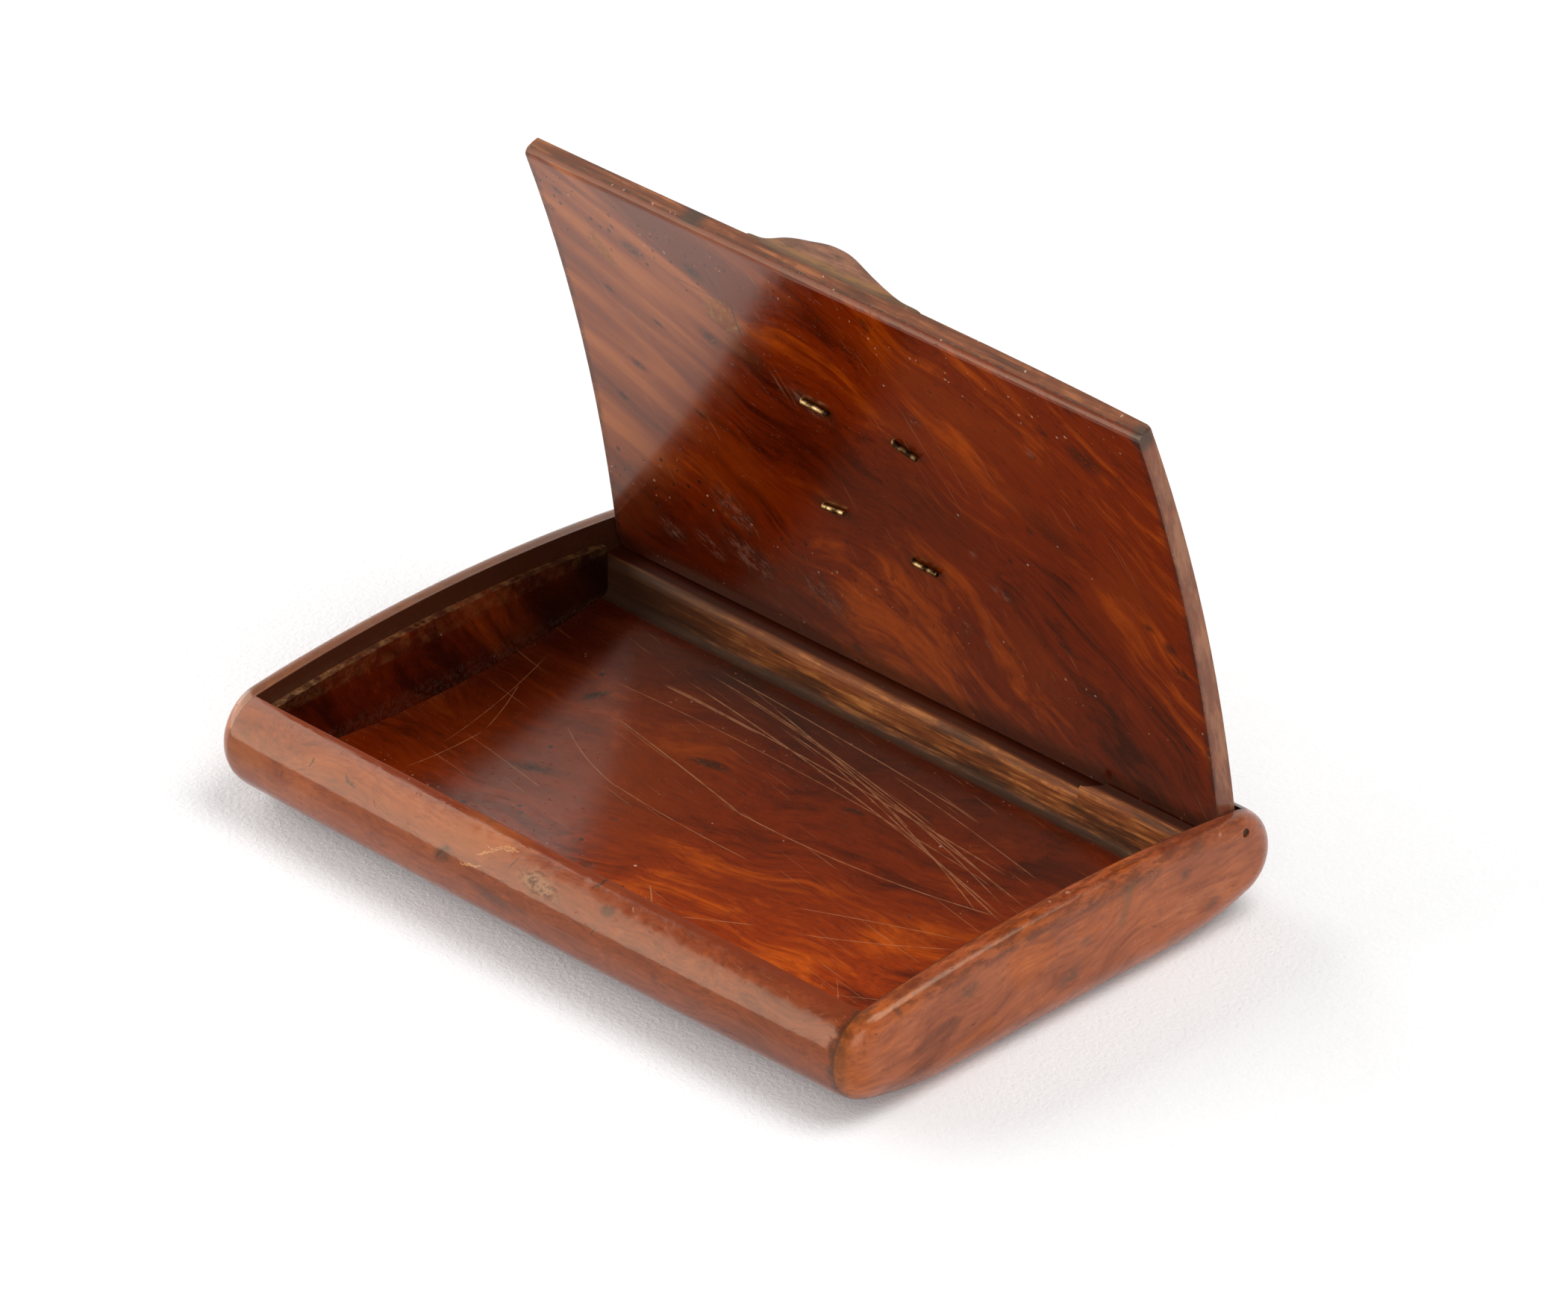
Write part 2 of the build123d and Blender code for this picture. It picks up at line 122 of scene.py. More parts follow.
# Front nose, whose marks are placed by x and z
NOSE_BRUISES = [(-11.8, 8.9, 1.2, 0.8, 30.0, 0.6), (-4.1, 6.9, 2.6, 0.7, -10.0, 0.9)]
NOSE_CRAZE = (1.8, 10.4, 2.8, 0.8, -6.0, 0.5)
NOSE_AMBER = [(-8.0, 11.6, 4.0, 1.4, 10.0, 0.9), (-42.0, 8.0, 3.0, 1.6, 0.0, 0.9)]
NOSE_CRACKS = [
    ((-12.6, 8.1), (-11.0, 9.8), 0.3, 0.2),
    ((-9.4, 12.2), (-5.6, 12.9), 0.45, 0.2),
    ((-28.0, 10.9), (-25.8, 10.6), 0.24, -0.2),
    ((-33.0, 10.2), (-32.7, 10.9), 0.22, 0.0),
    ((7.8, 11.7), (8.4, 12.4), 0.22, 0.1),
    ((-2.7, 10.6), (-2.3, 11.4), 0.2, 0.1),
    ((10.4, 8.4), (10.9, 9.4), 0.14, 0.1),
    ((-36.4, 7.6), (-36.0, 8.6), 0.12, 0.1),
]
NOSE_THREADS = [
    ((-7.6, 10.2), (-3.2, 11.7), 0.14, 0.3),
    ((-9.6, 9.0), (-6.0, 9.6), 0.16, -0.3),
    ((-7.0, 11.0), (-2.6, 11.9), 0.1, 0.2),
]

# Inner face of the lid
LID_GLOWS = [
    (16.0, -7.4, 13.0, 1.7, 12.0, 0.8),
    (36.0, 0.5, 4.0, 6.0, 40.0, 0.9),
    (-23.0, 8.0, 5.0, 3.0, 30.0, 0.9),
    (19.5, 15.5, 4.0, 3.0, 50.0, 0.9),
    (14.0, -17.0, 12.0, 3.0, 14.0, 0.9),
]
LID_CLOUDS = [
    (-8.0, 2.0, 12.0, 6.0, 20.0, 0.9),
    (6.0, 1.0, 7.0, 4.0, 10.0, 0.9),
    (-30.0, 24.0, 16.0, 5.0, 5.0, 0.8),
    (26.0, -4.0, 4.0, 1.6, 30.0, 0.9),
]

# Dark eyes, as x, y and two half widths
LID_EYES = [
    (-43.4, -18.6, 0.5, 0.4),
    (-41.3, -22.2, 0.7, 0.4),
    (-36.0, 0.5, 1.0, 0.5),
    (-39.8, 6.5, 0.8, 0.4),
    (-22.5, -9.3, 1.4, 0.8),
    (-22.0, -19.1, 1.2, 0.8),
    (-31.4, -18.0, 1.5, 0.8),
    (34.5, -18.6, 2.2, 1.3),
    (41.0, 4.8, 0.9, 0.7),
    (24.7, 12.1, 1.0, 0.6),
    (38.3, 3.2, 0.7, 0.4),
    (26.2, -15.2, 0.5, 0.4),
    (-30.8, -7.6, 0.8, 0.3),
    (-37.5, -9.6, 0.7, 0.3),
    (-27.4, 3.6, 0.9, 0.3),
    (30.3, -7.0, 0.6, 0.3),
    (42.3, 7.5, 1.0, 0.6),
    (29.0, -20.0, 0.9, 0.4),
]
LID_EYE_TURN = 20.0

# Dry scuffs, of which the large ones lie in a dark bed
LARGE_SCUFFS = [
    (-8.9, -6.2, 2.2, 0.9),
    (-24.8, 15.6, 2.6, 1.3),
    (-23.0, 21.4, 3.4, 1.6),
    (-12.4, 21.2, 2.6, 1.4),
    (7.9, -11.8, 1.0, 0.5),
    (-35.6, 22.7, 1.6, 0.8),
]
SMALL_SCUFFS = [
    (-29.6, 22.3, 1.8, 0.9),
    (9.6, 16.2, 0.8, 0.8),
    (12.6, 5.0, 0.5, 0.5),
    (26.0, -15.5, 0.7, 0.4),
    (16.0, 8.8, 1.3, 0.6),
    (12.7, 16.9, 0.4, 0.4),
]
SCUFF_TURN = 25.0
LABEL = (-19.3, -14.0, 2.5, 2.1, 12.0, 0.35)
LABEL_EDGES = [
    ((-17.3, -16.5), (-16.9, -11.8), 0.28, 0.1),
    ((-22.4, -13.2), (-17.2, -11.4), 0.2, 0.2),
    ((-26.0, -16.8), (-18.0, -16.4), 0.14, 0.1),
]
SCRAPE = [(-36.4, -15.3, 1.5, 0.8, 40.0, 0.5), (-37.2, -17.0, 1.0, 0.7, 60.0, 0.6)]
WIRES = [(-7.8, -7.6), (5.6, -7.6), (-8.3, 7.0), (4.8, 9.0)]

# Eyes of the right end, by y and z
END_EYES = [
    (-14.6, 10.1, 1.3, 0.8),
    (0.4, 5.1, 1.5, 0.8),
    (9.4, 12.0, 1.6, 0.9),
    (17.9, 10.1, 0.9, 0.6),
    (13.1, 11.9, 0.9, 0.5),
    (19.9, 12.4, 1.0, 0.5),
    (17.2, 13.6, 0.7, 0.4),
    (16.4, 2.6, 1.0, 0.5),
    (2.8, 8.5, 0.7, 0.5),
    (22.0, 4.7, 0.9, 0.6),
]
END_EYE_TURN = 15.0


class Graph:
    """Node tree of one material or world. Places in it are millimetres, and bump distances metres."""

    def __init__(self, owner):
        self.owner = owner
        owner.use_nodes = True
        self.tree = owner.node_tree
        self.tree.nodes.clear()

    def node(self, kind, inputs=None, **settings):
        n = self.tree.nodes.new(kind)
        for key, value in settings.items():
            setattr(n, key, value)
        for key, value in (inputs or {}).items():
            self.put(n.inputs[key], value)
        return n

    def put(self, socket, value):
        if isinstance(value, bpy.types.NodeSocket):
            self.tree.links.new(value, socket)
        else:
            socket.default_value = value

    def math(self, operation, a, b=0.0):
        return self.node("ShaderNodeMath", {0: a, 1: b}, operation=operation).outputs[0]

    def product(self, *factors):
        total = factors[0]
        for factor in factors[1:]:
            total = self.math("MULTIPLY", total, factor)
        return total

    def union(self, *masks):
        total = masks[0]
        for mask in masks[1:]:
            total = self.math("MAXIMUM", total, mask)
        return total

    def vector(self, operation, a, b=(0.0, 0.0, 0.0)):
        n = self.node("ShaderNodeVectorMath", {0: a, 1: b}, operation=operation)
        return n.outputs["Value" if operation == "LENGTH" else "Vector"]

    def scaled(self, a, factor):
        return self.node("ShaderNodeVectorMath", {0: a, "Scale": factor}, operation="SCALE").outputs[0]

    def drawn_out(self, a, x=1.0, y=1.0):
        """Coordinates whose patterns are longer along x or y, where the factor is under 1."""
        return self.vector("MULTIPLY", a, (x, y, 1.0))

    def flattened(self, a):
        return self.vector("MULTIPLY", a, (1.0, 1.0, 0.0))

    def rotated(self, a, angle, axis="Z_AXIS", centre=(0.0, 0.0, 0.0)):
        inputs = {"Vector": a, "Center": centre, "Angle": angle}
        return self.node("ShaderNodeVectorRotate", inputs, rotation_type=axis).outputs[0]

    def split(self, a):
        return self.node("ShaderNodeSeparateXYZ", {0: a}).outputs

    def joined(self, x, y, z=0.0):
        return self.node("ShaderNodeCombineXYZ", {0: x, 1: y, 2: z}).outputs[0]

    def noise(self, a, scale, detail=3.0, rough=0.5, distortion=0.0, colour=False):
        inputs = {"Vector": a, "Scale": scale, "Detail": detail, "Roughness": rough}
        inputs["Distortion"] = distortion
        return self.node("ShaderNodeTexNoise", inputs).outputs["Color" if colour else 0]

    def pushed(self, a, pattern, reach):
        """Coordinates moved about by a coloured noise, up to half of reach each way."""
        return self.vector("ADD", a, self.scaled(self.vector("SUBTRACT", pattern, (0.5, 0.5, 0.5)), reach))

    def cells(self, a, scale):
        return self.node("ShaderNodeTexVoronoi", {"Vector": a, "Scale": scale}).outputs

    def smooth(self, a, low, high, start=0.0, stop=1.0):
        """Goes from start, where a is low, to stop, where a is high."""
        inputs = {"Value": a, "From Min": low, "From Max": high, "To Min": start, "To Max": stop}
        return self.node("ShaderNodeMapRange", inputs, interpolation_type="SMOOTHSTEP").outputs[0]

    def cloudy(self, a, scale, detail, rough, low, high, start=0.0, stop=1.0):
        """Noise that goes smoothly from start to stop between two of its values."""
        return self.smooth(self.noise(a, scale, detail, rough), low, high, start, stop)

    def line(self, a, place, core, reach):
        """Mask of a soft line where a is place."""
        return self.smooth(self.math("ABSOLUTE", self.math("SUBTRACT", a, place)), core, reach, 1.0, 0.0)

    def ramp(self, a, places, colours):
        n = self.node("ShaderNodeValToRGB", {0: a})
        points = n.color_ramp.elements
        while len(points) < len(places):
            points.new(0.5)
        for point, place, colour in zip(points, places, colours):
            point.position = place
            point.color = (*colour, 1.0)
        return n.outputs[0]

    def mix(self, factor, a, b, blend="MIX"):
        n = self.node("ShaderNodeMix", {0: factor}, data_type="RGBA", blend_type=blend)
        for socket, value in ((n.inputs[6], a), (n.inputs[7], b)):
            self.put(socket, (*value, 1.0) if isinstance(value, tuple) else value)
        return n.outputs[2]

    def cover(self, under, over, *masks):
        """Colour under, with over on it as strongly as the masks and numbers give when multiplied."""
        return self.mix(self.product(*masks), under, over)

    def tinted(self, a, colour):
        return self.mix(1.0, a, colour, "MULTIPLY")

    def mix_value(self, factor, a, b):
        return self.node("ShaderNodeMix", {0: factor, 2: a, 3: b}, data_type="FLOAT").outputs[0]

    def object_mm(self):
        return self.scaled(self.node("ShaderNodeTexCoord").outputs["Object"], MM)

    def closed_lid_mm(self):
        """Place on the lid as if it were closed, so that marks stay on it in every pose."""
        return self.rotated(self.object_mm(), OPEN, "X_AXIS", HINGE)

    def spot(self, flat, x, y, rx, ry, turn=0.0, soft=0.5):
        """Soft oval patch: 1 inside, 0 outside."""
        centred = self.vector("SUBTRACT", flat, (x, y, 0.0))
        if turn:
            centred = self.rotated(centred, -math.radians(turn))
        reach = self.vector("LENGTH", self.vector("DIVIDE", centred, (rx, ry, 1.0)))
        return self.smooth(reach, 1.0 - soft, 1.0 + soft, 1.0, 0.0)

    def spots(self, flat, rows, *shared):
        """Spots of all rows, each row followed by the numbers that all of them share."""
        return self.union(*[self.spot(flat, *row, *shared) for row in rows])

    def scratch(self, flat, start, end, width, bow):
        """Thin line from start to end, bowed sideways by bow at its middle."""
        (x0, y0), (x1, y1) = start, end
        length = math.hypot(x1 - x0, y1 - y0)
        centred = self.vector("SUBTRACT", flat, ((x0 + x1) / 2, (y0 + y1) / 2, 0.0))
        along = self.rotated(centred, -math.atan2(y1 - y0, x1 - x0))
        u, v, _ = self.split(along)
        reach = self.math("MULTIPLY", u, 2.0 / length)
        if bow:
            lift = self.product(self.math("SUBTRACT", 1.0, self.product(reach, reach)), bow)
            v = self.math("SUBTRACT", v, lift)
        line = self.smooth(self.math("ABSOLUTE", v), width * 0.25, width * 0.8, 1.0, 0.0)
        ends = self.smooth(self.math("ABSOLUTE", reach), 0.75, 1.0, 1.0, 0.0)
        return self.product(line, ends)

    def scratches(self, flat, rows):
        return self.union(*[self.scratch(flat, *row) for row in rows])

    def flecks(self, place, scale, share, size):
        """Small irregular flakes in a share of the cells of a random pattern."""
        torn = self.vector("ADD", place, self.scaled(self.noise(place, 3.0, 2.0, 0.6, colour=True), 0.5))
        cell = self.cells(torn, scale)
        radius = self.smooth(self.split(cell["Color"])[2], 1.0 - share, 1.0, 0.0, size)
        inside = self.smooth(self.math("SUBTRACT", cell["Distance"], radius), -0.02, 0.02, 1.0, 0.0)
        return self.product(inside, self.smooth(radius, 0.0, 0.02))

    def finish(self, colour, roughness, height, distance=0.00004, specular=0.5, metallic=0.0):
        bump = self.node("ShaderNodeBump", {"Height": height, "Distance": distance, "Strength": 1.0})
        inputs = {"Base Color": colour, "Roughness": roughness, "Metallic": metallic}
        inputs["Normal"] = bump.outputs[0]
        shader = self.node("ShaderNodeBsdfPrincipled", inputs)
        shader.inputs["Specular IOR Level"].default_value = specular
        shader.inputs["Specular Tint"].default_value = WARM_EDGE
        self.node("ShaderNodeOutputMaterial", {0: shader.outputs[0]})
        return self.owner


def material_graph(name):
    return Graph(bpy.data.materials.new(name))


def burr(g, place, flow, tones, eyes, polish=0.15):
    """Burr wood: a flowing flame figure, fine fibres, pores, dark eyes and pale dust specks."""
    bent = g.pushed(place, g.noise(place, 0.04, 2.0, 0.5, colour=True), 15.0)
    along = g.rotated(bent, flow)
    broad = g.noise(g.drawn_out(along, 0.2), 0.15, 4.0, 0.5, 0.8)
    flame = g.noise(g.drawn_out(along, 0.12), 0.62, 5.0, 0.6, 0.5)
    cloud = g.noise(bent, 0.05, 2.0, 0.5)
    tone = g.math("ADD", g.product(broad, 0.42), g.product(flame, 0.26))
    tone = g.math("ADD", tone, g.product(cloud, 0.32))
    dark, middle, light = tones
    colour = g.ramp(tone, (0.4, 0.485, 0.535, 0.63), (dark, middle, middle, light))
    mottle = g.noise(g.drawn_out(along, 0.5), 0.9, 4.0, 0.6, 0.6)
    colour = g.cover(colour, g.tinted(colour, (0.55, 0.45, 0.4)), g.smooth(mottle, 0.52, 0.66, 0.0, 0.4))
    colour = g.cover(colour, g.tinted(colour, (1.3, 1.5, 1.2)), g.smooth(mottle, 0.46, 0.34, 0.0, 0.3))
    fibre = g.noise(g.drawn_out(along, 0.06), 2.1, 5.0, 0.65, 0.3)
    colour = g.cover(colour, g.tinted(colour, (0.5, 0.38, 0.3)), g.smooth(fibre, 0.5, 0.66, 0.0, 0.45))
    colour = g.cover(colour, g.tinted(colour, (1.45, 1.6, 1.2)), g.smooth(fibre, 0.48, 0.34, 0.0, 0.4))
    pore = g.cloudy(g.drawn_out(along, 0.28), 3.2, 2.0, 0.5, 0.68, 0.75)
    colour = g.cover(colour, PORE, pore, 0.6)

    # Eyes and dust specks fill the middle of some random cells
    eye = g.cells(bent, 0.17)
    size = g.smooth(g.split(eye["Color"])[0], 1.0 - eyes, 1.0, 0.0, 0.13)
    inside = g.smooth(g.math("SUBTRACT", eye["Distance"], size), -0.03, 0.06, 1.0, 0.0)
    eye_mask = g.product(inside, g.smooth(size, 0.0, 0.03))
    colour = g.cover(colour, EYE, eye_mask, 0.55)
    dust = g.cells(place, 0.4)
    radius = g.smooth(g.split(dust["Color"])[1], 0.74, 1.0, 0.0, 0.07)
    inside = g.smooth(g.math("SUBTRACT", dust["Distance"], radius), -0.015, 0.01, 1.0, 0.0)
    speck = g.product(inside, g.smooth(radius, 0.0, 0.02))
    colour = g.cover(colour, SPECK, speck, 0.6)

    height = g.math("SUBTRACT", g.product(fibre, 0.16), g.product(pore, 0.5))
    height = g.math("SUBTRACT", height, g.product(eye_mask, 0.35))
    height = g.math("ADD", height, g.product(g.noise(place, 0.22, 2.0, 0.5), 0.22))
    rough = g.cloudy(place, 0.7, 4.0, 0.6, 0.3, 0.8, polish, polish + 0.1)
    rough = g.math("ADD", rough, g.product(g.math("ADD", pore, speck), 0.2))
    return colour, rough, height


def raw_wood(g, place):
    """Dry ochre wood with fine brown fibres along the box."""
    fibre = g.noise(g.drawn_out(place, 0.05), 2.4, 6.0, 0.65, 0.2)
    colour = g.ramp(fibre, (0.34, 0.5, 0.64), DRY_TONES)
    return g.cover(colour, (0.11, 0.028, 0.01), g.cloudy(place, 0.3, 3.0, 0.6, 0.46, 0.62, 0.0, 0.6)), fibre


def hollow_colour(g, p, colour):
    """Floor and front wall of the hollow."""
    x, y, z = g.split(p)
    flat = g.flattened(p)
    inside = g.smooth(y, NOSE_BACK + 0.2, NOSE_BACK + 0.7)
    inside = g.product(inside, g.smooth(y, LIP_FRONT + 0.9, LIP_FRONT + 0.3))
    floor = g.product(inside, g.smooth(z, 6.6, 5.2))

    # Painted shade at the back and left, a painted pool of light towards the front right and a painted
    # reflection haze on the left
    colour = g.cover(colour, g.tinted(colour, (1.9, 2.1, 1.8)), g.spot(flat, *FLOOR_PAINTED_LIGHT), floor, 0.75)
    colour = g.cover(colour, (0.2, 0.03, 0.003), g.spot(flat, *FLOOR_PAINTED_SHEEN), floor, 0.55)
    shade = g.product(g.spots(flat, FLOOR_PAINTED_SHADE), inside, g.smooth(z, 8.0, 6.5))
    colour = g.cover(colour, (0.022, 0.002, 0.0004), shade, 0.72)

    # Knots, pinholes and scratches
    knots = g.product(g.spots(flat, FLOOR_KNOTS), floor, g.cloudy(p, 1.6, 3.0, 0.6, 0.3, 0.5))
    colour = g.cover(colour, GRIME, knots, 0.8)
    colour = g.cover(colour, GRIME, g.spots(flat, PINHOLES, PINHOLE_RADIUS, PINHOLE_RADIUS), floor)
    worn = g.cloudy(p, 0.5, 3.0, 0.6, 0.3, 0.6, 0.35, 0.95)
    colour = g.cover(colour, (0.42, 0.18, 0.08), g.scratches(flat, FLOOR_SCRATCHES), floor, worn, 0.85)
    hair = g.cloudy(g.drawn_out(g.rotated(p, 0.18), 0.02), 3.0, 2.0, 0.5, 0.68, 0.72)
    colour = g.cover(colour, (0.4, 0.16, 0.07), hair, floor, 0.35)

    # Dust where the floor meets the left end, the front wall and the back lip, and flakes anywhere
    back = g.smooth(y, LIP_FRONT - 1.1, LIP_FRONT - 0.3, 0.0, 0.4)
    front = g.smooth(y, HOLLOW_FRONT + 0.8, HOLLOW_FRONT + 0.1, 0.0, 0.4)
    edge = g.union(g.smooth(x, 1.5 - FIELD_HALF, 0.1 - FIELD_HALF), back, front)
    crumbs = g.cloudy(p, 3.4, 5.0, 0.75, 0.52, 0.66)
    colour = g.cover(colour, DUST, edge, g.smooth(z, 6.2, 5.2), crumbs, inside, 0.4)
    scatter = g.product(g.flecks(p, 0.9, 0.5, 0.12), g.smooth(x, -30.0, 10.0, 1.0, 0.6), floor)
    colour = g.cover(colour, (0.42, 0.24, 0.14), scatter, 0.6)

    # Front wall, darker than the floor
    wall = g.smooth(y, NOSE_BACK - 0.3, NOSE_BACK)
    wall = g.product(wall, g.smooth(y, HOLLOW_FRONT + 0.5, HOLLOW_FRONT + 0.1))
    return g.cover(colour, (0.05, 0.006, 0.001), wall, 0.4)


def lip_colour(g, p, colour):
    """Back lip: raw striated wood in front, a polished rounded crest darkened partly as painted shade under
    the lid, and a cove painted dark as shade.
    """
    x, y, z = g.split(p)
    dry, grain = raw_wood(g, p)
    face = g.smooth(y, LIP_FRONT - 0.8, LIP_FRONT - 0.4)
    face = g.product(face, g.smooth(y, LIP_FRONT + 1.2, LIP_FRONT + 0.5))
    jag = g.cloudy(g.drawn_out(p, 0.12), 0.9, 4.0, 0.7, 0.3, 0.7, -0.7, 0.7)
    bare = g.product(face, g.smooth(g.math("ADD", z, jag), 4.2, 6.0))
    foot = g.product(g.smooth(z, 6.4, 5.6), g.smooth(y, LIP_FRONT + 0.3, LIP_FRONT))
    foot = g.product(foot, g.smooth(y, LIP_FRONT - 2.1, LIP_FRONT - 1.3))
    foot = g.product(foot, g.smooth(y, LIP_FRONT - 1.4, LIP_FRONT - 0.8))
    colour = g.cover(colour, (0.04, 0.008, 0.002), face, 0.8)
    colour = g.cover(colour, g.tinted(dry, (0.3, 0.24, 0.2)), foot, 0.85)
    colour = g.cover(colour, g.tinted(dry, (2.1, 1.75, 1.2)), bare, 0.92)
    # Dark stains on the raw wood, and painted shade that deepens towards the left end
    stain_and_shade = g.cloudy(g.drawn_out(p, 0.25), 0.35, 4.0, 0.6, 0.5, 0.66, 0.0, 0.7)
    stain_and_shade = g.union(stain_and_shade, g.smooth(x, -12.0, -40.0, 0.0, 0.95))
    colour = g.cover(colour, (0.03, 0.008, 0.003), g.union(bare, foot), stain_and_shade)
    # Crest: polished reddish wood, darkened partly as painted shade under the lid
    crest = g.product(g.smooth(y, LIP_FRONT + 0.5, LIP_FRONT + 1.2), g.smooth(z, 6.0, 6.6))
    crest = g.product(crest, g.smooth(y, HINGE_Y + 3.5, HINGE_Y + 2.5))
    colour = g.cover(colour, (0.04, 0.007, 0.0025), crest, 0.85)
    # Cove behind the lid's heel: painted shade
    cove = g.product(g.smooth(y, HINGE_Y - 0.6, HINGE_Y + 0.2), g.smooth(z, 13.2, 12.6))
    cove = g.product(cove, g.smooth(y, HINGE_Y + 3.2, HINGE_Y + 2.2))
    colour = g.cover(colour, (0.02, 0.004, 0.001), cove, 0.75)
    return colour, g.product(face, g.product(grain, 0.6)), bare, foot, crest


def nose_colour(g, p, colour):
    """Front nose: a saturated strip along the hollow, calmer brown with small damage below."""
    x, y, z = g.split(p)
    front = g.joined(x, z)
    nose = g.smooth(y, NOSE_BACK + 0.1, NOSE_BACK - 0.3)
    brown, _, _ = burr(g, g.vector("ADD", p, (40.0, 15.0, 0.0)), -0.08, NOSE_TONES, 0.12)
    colour = g.cover(colour, brown, nose)
    waver = g.cloudy(p, 0.8, 3.0, 0.6, 0.3, 0.7, -0.35, 0.35)
    strip = g.product(nose, g.smooth(g.math("ADD", y, waver), NOSE_BACK - 1.7, NOSE_BACK - 1.0))
    faded = g.cloudy(g.drawn_out(p, 0.2), 1.0, 4.0, 0.6, 0.3, 0.62, 0.6, 1.0)
    colour = g.cover(colour, (0.17, 0.02, 0.001), strip, faded)

    # Bruises, cracks, a crazed patch and torn threads, all with ragged outlines
    ragged = g.flattened(g.pushed(front, g.noise(p, 1.1, 3.0, 0.6, colour=True), 1.1))
    colour = g.cover(colour, (0.07, 0.014, 0.005), nose, g.spots(ragged, NOSE_BRUISES), 0.75)
    colour = g.cover(colour, (0.035, 0.012, 0.006), nose, g.scratches(ragged, NOSE_CRACKS), 0.8)
    craze = g.product(nose, g.spot(ragged, *NOSE_CRAZE))
    net = g.cloudy(g.drawn_out(p, 0.6), 2.0, 5.0, 0.75, 0.44, 0.56)
    colour = g.cover(colour, g.cover((0.07, 0.032, 0.016), (0.36, 0.19, 0.1), net), craze, 0.7)
    colour = g.cover(colour, (0.55, 0.24, 0.08), nose, g.scratches(ragged, NOSE_THREADS), 0.7)
    colour = g.cover(colour, (0.45, 0.12, 0.02), nose, g.spots(front, NOSE_AMBER), 0.35)

    # Dark split at the right end
    waver = g.cloudy(p, 0.9, 4.0, 0.7, 0.3, 0.7, -0.5, 0.5)
    split = g.smooth(g.math("ADD", x, waver), CORE_HALF - 1.0, CORE_HALF)
    colour = g.cover(colour, (0.055, 0.016, 0.006), nose, split, 0.8)
    return colour, nose, craze


def trough_material():
    g = material_graph("burr_trough")
    p = g.object_mm()
    colour, rough, height = burr(g, p, -0.15, FLOOR_TONES, 0.3, 0.16)
    colour = hollow_colour(g, p, colour)
    colour, lip_grain, bare, foot, crest = lip_colour(g, p, colour)
    colour, nose, craze = nose_colour(g, p, colour)

    # Underside: handled dull wood with fine wear
    under = g.smooth(g.split(p)[2], 0.9, 0.2)
    colour = g.cover(colour, (0.15, 0.05, 0.024), under, g.cloudy(p, 0.12, 4.0, 0.6, 0.4, 0.65, 0.15, 0.5))
    dull = g.union(bare, g.product(under, 0.6), g.product(craze, 0.6))
    rough = g.mix_value(g.product(nose, 0.45), rough, 0.02)
    rough = g.mix_value(foot, g.mix_value(crest, rough, 0.36), 0.75)
    rough = g.mix_value(g.product(dull, 0.9), rough, 0.7)
    height = g.math("ADD", height, lip_grain)
    return g.finish(colour, rough, height, 0.00003, specular=0.52)


def inner_face_figure(g, p, colour, inner):
    """Inner face of the lid: pale striped wood at the left front, lightened also as a painted reflection,
    glows, dark clouds and eyes elsewhere.
    """
    x, y, _ = g.split(p)
    flat = g.flattened(p)
    across = g.math("ADD", g.math("ADD", x, g.product(y, 0.7)), 25.0)
    stripes = g.noise(g.drawn_out(g.rotated(p, -0.42), 0.1), 0.2, 3.0, 0.5, 0.5)
    pale = g.ramp(stripes, (0.38, 0.5, 0.62), PALE_AND_SHEEN_TONES)
    # Pale stripes at the left front: lighter wood together with a painted reflection of the bright floor
    colour = g.cover(colour, pale, g.smooth(across, 6.0, -9.0), inner, 0.85)
    colour = g.cover(colour, (0.25, 0.034, 0.002), g.spots(flat, LID_GLOWS), inner, 0.4)
    colour = g.cover(colour, (0.05, 0.004, 0.0005), g.spots(flat, LID_CLOUDS), inner, 0.6)
    pits = g.flecks(g.vector("ADD", p, (9.0, 4.0, 0.0)), 0.7, 0.6, 0.2)
    colour = g.cover(colour, (0.03, 0.008, 0.004), pits, inner, g.smooth(x, 30.0, -40.0, 0.45, 1.0), 0.8)
    eyes = g.spots(flat, LID_EYES, LID_EYE_TURN, 0.7)
    return g.cover(colour, (0.03, 0.007, 0.003), eyes, inner, g.cloudy(p, 1.8, 3.0, 0.6, 0.32, 0.5), 0.75)


